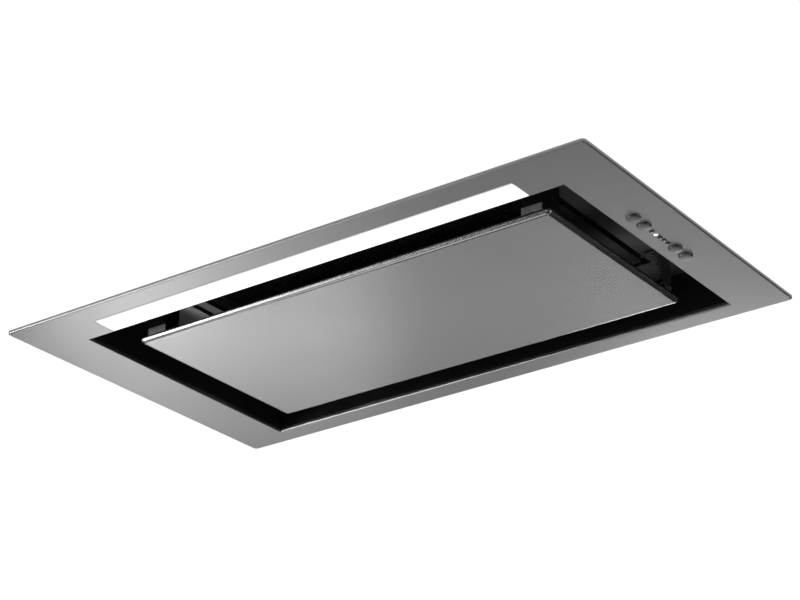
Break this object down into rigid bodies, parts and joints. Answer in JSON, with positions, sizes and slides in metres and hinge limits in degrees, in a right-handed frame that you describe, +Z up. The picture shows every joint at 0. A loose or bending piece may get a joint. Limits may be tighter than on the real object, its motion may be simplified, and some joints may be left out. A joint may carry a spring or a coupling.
{
  "type": "ceiling range hood",
  "caption": "Flush ceiling cooker hood: stainless frame and hinged suction panel with perimeter slots, front light strip, push buttons, blower and round duct collar.",
  "frame": {"origin": "centre of the face plate's outline, in the plane of the ceiling that the plate is pressed against", "axes": "+Z up into the ceiling, -Y towards the side with the light strip, +X towards the side with the push buttons; the visible face looks along -Z"},
  "size_m": [0.6, 0.36, 0.3076],
  "materials": {
    "brushed_stainless": "satin brushed",
    "galvanised_sheet": "spangled zinc",
    "black_liner": "semi-gloss black",
    "bright_steel": "polished",
    "filter_aluminium": "satin",
    "wheel_plastic": "matt",
    "volute_plastic": "matt, lightly grained",
    "black_plastic": "matt",
    "grey_plastic": "matt",
    "white_plastic": "matt",
    "opal_diffuser": "opal, lit from behind",
    "light_chip": "lit",
    "dark_lens": "smoked",
    "lit_lens": "lit from behind",
    "button_metal": "satin",
    "ferrite": "dull",
    "motor_metal": "cast, sealed",
    "foam": "open-cell foam",
    "rubber": "matt",
    "circuit_board": "lacquered"
  },
  "bodies": {
    "hood": {"face_frame": "brushed_stainless", "ceiling_gasket": "foam", "recess_liner": "black_liner", "outer_casing": "galvanised_sheet", "filter_deck": "galvanised_sheet", "filter_seat": "galvanised_sheet", "filter_magnets": "ferrite", "light_diffuser": "opal_diffuser", "light_housing": "white_plastic", "light_board": "circuit_board", "light_chips": "light_chip", "light_driver": "white_plastic", "control_housing": "black_plastic", "control_board": "circuit_board", "control_switches": "black_plastic", "indicator_lenses": "dark_lens", "lit_indicator_lens": "lit_lens", "panel_hinge_bracket_right": "galvanised_sheet", "panel_hinge_bracket_left": "galvanised_sheet", "panel_catch_right": "black_plastic", "panel_catch_left": "black_plastic", "catch_magnets": "ferrite", "volute_right": "volute_plastic", "volute_left": "volute_plastic", "motor": "motor_metal", "motor_grommets": "rubber", "motor_bracket": "galvanised_sheet", "run_capacitor": "grey_plastic", "roof_plate": "galvanised_sheet", "hanger_brackets": "galvanised_sheet", "outlet_collar": "grey_plastic", "collar_flange": "grey_plastic", "flap_pin": "bright_steel", "terminal_box": "grey_plastic", "terminal_cover": "grey_plastic", "terminal_block": "white_plastic", "cable_gland": "grey_plastic", "gland_nut": "grey_plastic"},
    "panel": {"panel_skin": "brushed_stainless", "panel_backing": "galvanised_sheet", "panel_strike_right": "bright_steel", "panel_strike_left": "bright_steel", "panel_hinge_arm_right": "galvanised_sheet", "panel_hinge_arm_left": "galvanised_sheet", "panel_hinge_pins": "bright_steel"},
    "filter": {"filter_frame": "filter_aluminium", "filter_mesh": "filter_aluminium", "filter_pins": "bright_steel", "filter_pull": "bright_steel"},
    "rotor": {"impeller": "wheel_plastic", "motor_shaft": "bright_steel"},
    "flap_front": {"flap_front": "grey_plastic"},
    "flap_rear": {"flap_rear": "grey_plastic"},
    "button_1": {"button_1": "button_metal"},
    "button_2": {"button_2": "button_metal"},
    "button_3": {"button_3": "button_metal"},
    "button_4": {"button_4": "button_metal"}
  },
  "joints": [
    {"name": "panel_hinge", "type": "hinge", "parent": "hood", "child": "panel", "pos_m": [0, 0.118, 0.012], "axis": [1, 0, 0], "range_deg": [0, 90]},
    {"name": "filter_hinge", "type": "hinge", "parent": "hood", "child": "filter", "pos_m": [0, 0.113, 0.04625], "axis": [1, 0, 0], "range_deg": [0, 8]},
    {"name": "impeller_spin", "type": "hinge", "parent": "hood", "child": "rotor", "pos_m": [0, -0.05, 0.152], "axis": [1, 0, 0], "continuous": true},
    {"name": "flap_rear_hinge", "type": "hinge", "parent": "hood", "child": "flap_rear", "pos_m": [0, 0.016, 0.2745], "axis": [1, 0, 0], "range_deg": [0, 75]},
    {"name": "flap_front_hinge", "type": "hinge", "parent": "hood", "child": "flap_front", "pos_m": [0, 0.016, 0.2745], "axis": [-1, 0, 0], "range_deg": [0, 75]},
    {"name": "button_1_press", "type": "slide", "parent": "hood", "child": "button_1", "axis": [0, 0, 1], "range_m": [0, 0.0012], "stiffness_N_per_m": 1200, "springref_m": -0.0008},
    {"name": "button_2_press", "type": "slide", "parent": "hood", "child": "button_2", "axis": [0, 0, 1], "range_m": [0, 0.0012], "stiffness_N_per_m": 1200, "springref_m": -0.0008},
    {"name": "button_3_press", "type": "slide", "parent": "hood", "child": "button_3", "axis": [0, 0, 1], "range_m": [0, 0.0012], "stiffness_N_per_m": 1200, "springref_m": -0.0008},
    {"name": "button_4_press", "type": "slide", "parent": "hood", "child": "button_4", "axis": [0, 0, 1], "range_m": [0, 0.0012], "stiffness_N_per_m": 1200, "springref_m": -0.0008}
  ]
}
